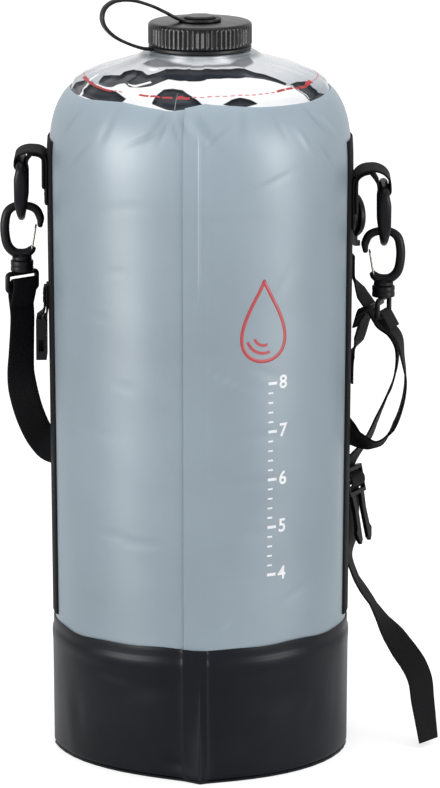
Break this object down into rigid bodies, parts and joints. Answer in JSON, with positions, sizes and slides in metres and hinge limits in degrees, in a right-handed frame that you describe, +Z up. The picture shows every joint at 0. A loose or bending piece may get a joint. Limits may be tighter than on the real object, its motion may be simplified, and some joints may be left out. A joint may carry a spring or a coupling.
{
  "type": "camp shower bag",
  "caption": "Upright soft water bag for camp showers: round fabric body, clear dome with screw cap, black base, side D-rings with snap hooks, carrying straps, air valve and outlet.",
  "frame": {"origin": "on the bag's axis, where its floor disc stands on the ground", "axes": "+Z up along the bag's axis, -Y towards the front seam, +X towards the side with the air valve and the adjusting strap"},
  "size_m": [0.2969, 0.2203, 0.5158],
  "materials": {
    "grey_fabric": "coated woven fabric with a soft sheen",
    "clear_film": "clear glossy film",
    "clear_neck": "clear moulded plastic",
    "black_film": "welded black film with a satin sheen",
    "webbing": "woven black webbing",
    "black_plastic": "moulded black plastic",
    "black_rubber": "soft black rubber",
    "steel_wire": "bright drawn steel wire"
  },
  "bodies": {
    "bag": {"left_wall": "grey_fabric", "right_wall": "grey_fabric", "clear_dome": "clear_film", "neck_spout": "clear_neck", "base_wall": "black_film", "base_floor": "black_film", "side_strip_left": "webbing", "side_strip_right": "webbing", "loop_webbing_left": "webbing", "loop_webbing_right": "webbing", "shoulder_strap": "webbing", "adjust_strap": "webbing", "keeper_strap": "webbing", "buckle_tab": "webbing", "air_valve_body": "black_plastic", "outlet_spigot": "black_plastic", "tether": "black_rubber"},
    "button": {"tether_button": "black_plastic"},
    "cap": {"cap": "black_plastic", "cap_seal": "black_rubber"},
    "ring_left": {"d_ring_left": "black_plastic"},
    "hook_left": {"snap_hook_left": "black_plastic"},
    "gate_left": {"wire_gate_left": "steel_wire"},
    "eye_left": {"swivel_left": "black_plastic"},
    "ring_right": {"d_ring_right": "black_plastic"},
    "hook_right": {"snap_hook_right": "black_plastic"},
    "gate_right": {"wire_gate_right": "steel_wire"},
    "eye_right": {"swivel_right": "black_plastic"},
    "keeper": {"keeper_ring": "black_plastic"},
    "male_buckle": {"buckle_male": "black_plastic"},
    "female_buckle": {"buckle_female": "black_plastic"},
    "air_disc": {"valve_disc": "black_rubber"},
    "air_cap": {"valve_cap": "black_plastic"},
    "outlet_plug": {"outlet_cap": "black_rubber"}
  },
  "joints": [
    {"name": "cap_turn", "type": "hinge", "parent": "button", "child": "cap", "pos_m": [0, 0, 0.4981], "axis": [0, 0, 1], "range_deg": [0, 540]},
    {"name": "cap_lift", "type": "slide", "parent": "bag", "child": "button", "axis": [0, 0, 1], "range_m": [0, 0.0068], "deforming": ["tether"]},
    {"name": "ring_swing_left", "type": "hinge", "parent": "bag", "child": "ring_left", "pos_m": [-0.11957, 0, 0.4036], "axis": [0, 1, 0], "range_deg": [0, 60], "deforming": ["shoulder_strap"]},
    {"name": "hook_swing_left", "type": "hinge", "parent": "ring_left", "child": "hook_left", "pos_m": [-0.11957, 0, 0.3668], "axis": [0, 1, 0], "range_deg": [-3, 45], "deforming": ["shoulder_strap"]},
    {"name": "gate_left", "type": "hinge", "parent": "hook_left", "child": "gate_left", "pos_m": [-0.11275, 0, 0.34408], "axis": [0, -1, 0], "range_deg": [0, 25], "stiffness_Nm_per_rad": 0.01, "springref_deg": -8.59},
    {"name": "swivel_left", "type": "hinge", "parent": "hook_left", "child": "eye_left", "pos_m": [-0.11957, 0, 0.3162], "axis": [0, 0, 1], "range_deg": [-90, 90], "deforming": ["shoulder_strap"]},
    {"name": "ring_swing_right", "type": "hinge", "parent": "bag", "child": "ring_right", "pos_m": [0.12313, 0, 0.3862], "axis": [0, -1, 0], "range_deg": [0, 60], "deforming": ["shoulder_strap"]},
    {"name": "hook_swing_right", "type": "hinge", "parent": "ring_right", "child": "hook_right", "pos_m": [0.12313, 0, 0.3494], "axis": [0, -1, 0], "range_deg": [0, 45], "deforming": ["shoulder_strap"]},
    {"name": "gate_right", "type": "hinge", "parent": "hook_right", "child": "gate_right", "pos_m": [0.11632, 0, 0.32668], "axis": [0, 1, 0], "range_deg": [0, 25], "stiffness_Nm_per_rad": 0.01, "springref_deg": -8.59},
    {"name": "swivel_right", "type": "hinge", "parent": "hook_right", "child": "eye_right", "pos_m": [0.12313, 0, 0.2988], "axis": [0, 0, 1], "range_deg": [-60, 10], "deforming": ["shoulder_strap"]},
    {"name": "keeper_swing", "type": "hinge", "parent": "bag", "child": "keeper", "pos_m": [0.11198, 0.01637, 0.29837], "axis": [0.3912, 0.92, -0.0235], "range_deg": [-15, 15], "deforming": ["adjust_strap"]},
    {"name": "male_buckle_swing", "type": "hinge", "parent": "bag", "child": "male_buckle", "pos_m": [0.10514, 0.03802, 0.17558], "axis": [0.454, 0.891, 0], "range_deg": [-12, 18], "deforming": ["adjust_strap"]},
    {"name": "female_buckle_swing", "type": "hinge", "parent": "bag", "child": "female_buckle", "pos_m": [-0.10663, 0, 0.29649], "axis": [0, 1, 0], "range_deg": [0, 60]},
    {"name": "air_disc_lift", "type": "slide", "parent": "bag", "child": "air_disc", "axis": [-0.9026, -0.4305, 0], "range_m": [0, 0.0012], "stiffness_N_per_m": 5, "springref_m": -0.0004},
    {"name": "air_cap_flip", "type": "hinge", "parent": "bag", "child": "air_cap", "pos_m": [0.10399, 0.0496, 0.3395], "axis": [-0.4305, 0.9026, 0], "range_deg": [0, 105]},
    {"name": "outlet_pull", "type": "slide", "parent": "bag", "child": "outlet_plug", "axis": [0.3256, 0.9455, 0], "range_m": [0, 0.015]}
  ],
  "couplings": [
    {"joint": "cap_lift", "follows": "cap_turn", "m_per_rad": 0.0007162}
  ]
}
